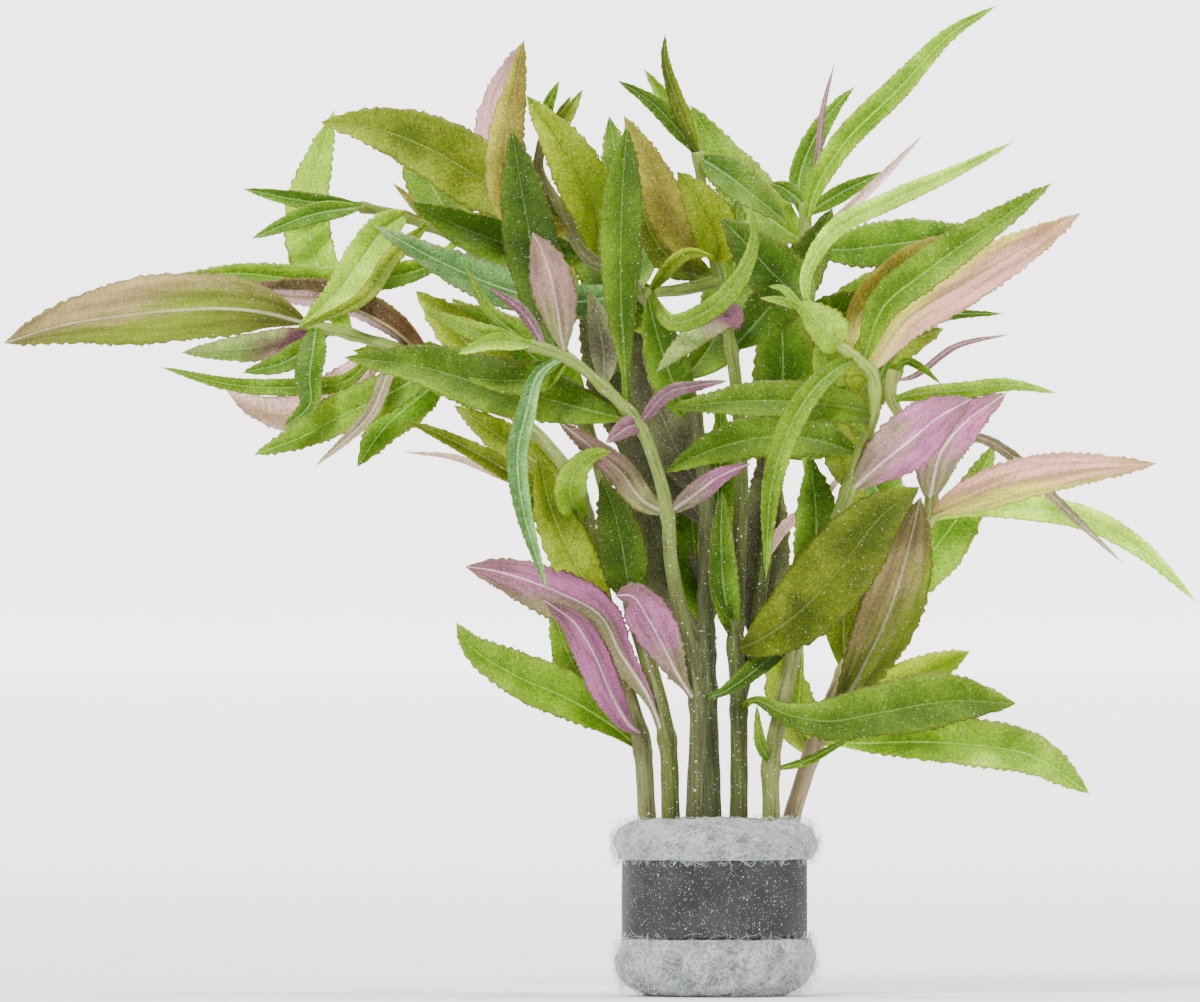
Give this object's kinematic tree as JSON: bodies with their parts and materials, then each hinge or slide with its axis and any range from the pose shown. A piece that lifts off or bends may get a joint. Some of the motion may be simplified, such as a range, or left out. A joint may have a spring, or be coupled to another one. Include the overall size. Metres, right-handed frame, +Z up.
{
  "type": "rice paddy herb bunch",
  "caption": "Bunch of aquarium plant shoots with narrow toothed green and pink leaves, standing in a wool plug bound with a dark metal strip.",
  "frame": {"origin": "middle of the wool plug's flat underside", "axes": "+Z up along the shoots, +X to the right seen from the front, the front faces -Y"},
  "size_m": [0.203, 0.071, 0.1685],
  "materials": {
    "stem_green": "smooth waxy plant stem, green with a brown-purple flush",
    "leaf_fresh": "fresh green leaf with a satin sheen",
    "leaf_deep": "dark green leaf with a satin sheen",
    "leaf_olive": "olive green leaf with a satin sheen",
    "leaf_pale": "pale young leaf, thin and soft",
    "leaf_bronze": "bronze brown leaf with a satin sheen",
    "leaf_pink": "pink to magenta leaf underside with a pale midrib",
    "wool_white": "white filter wool, loose matted fibres",
    "lead_grey": "dull dark grey soft lead sheet"
  },
  "bodies": {
    "root": {"stem_1": "stem_green", "stem_2": "stem_green", "stem_3": "stem_green", "stem_4": "stem_green", "stem_5": "stem_green", "stem_6": "stem_green", "stem_7": "stem_green", "side_shoot": "stem_green", "low_left_leaf": "leaf_fresh", "lower_bright_leaf": "leaf_fresh", "long_light_leaf": "leaf_fresh", "front_bright_leaf": "leaf_fresh", "front_upright_leaf": "leaf_fresh", "hanging_curl_leaf": "leaf_fresh", "yellow_leaf": "leaf_fresh", "yellow_rise_leaf": "leaf_fresh", "spoon_leaf": "leaf_fresh", "needle_leaf": "leaf_fresh", "olive_centre_leaf": "leaf_fresh", "folded_green_leaf": "leaf_fresh", "centre_bright_leaf": "leaf_fresh", "low_right_leaf": "leaf_fresh", "hanging_left_leaf": "leaf_deep", "dark_vertical_leaf": "leaf_deep", "cross_leaf": "leaf_deep", "dark_rise_leaf": "leaf_deep", "dark_top_leaf": "leaf_deep", "notch_leaf": "leaf_deep", "wide_back_leaf": "leaf_deep", "dark_heart_leaf": "leaf_deep", "left_reach_leaf": "leaf_olive", "behind_left_leaf": "leaf_olive", "top_olive_leaf": "leaf_olive", "tall_front_leaf": "leaf_olive", "broad_olive_leaf": "leaf_olive", "tall_brown_leaf": "leaf_olive", "right_back_leaf": "leaf_olive", "back_upright_leaf": "leaf_pale", "pale_drooping_leaf": "leaf_pale", "curled_leaf": "leaf_pale", "light_band_leaf": "leaf_pale", "heart_leaf": "leaf_pale", "trailing_leaf": "leaf_pale", "east_low_leaf": "leaf_pale", "bronze_fold_leaf": "leaf_bronze", "bronze_rise_leaf": "leaf_bronze", "bronze_right_leaf": "leaf_bronze", "magenta_leaf": "leaf_pink", "lilac_low_leaf": "leaf_pink", "pink_rise_leaf": "leaf_pink", "pink_upright_leaf": "leaf_pink", "lilac_mid_leaf": "leaf_pink", "pink_mid_leaf": "leaf_pink", "tall_pink_leaf": "leaf_pink", "folded_pink_leaf": "leaf_pink", "magenta_right_leaf": "leaf_pink", "pink_right_leaf": "leaf_pink", "east_leaf": "leaf_pink", "wool_plug": "wool_white", "lead_strip": "lead_grey"}
  },
  "joints": []
}
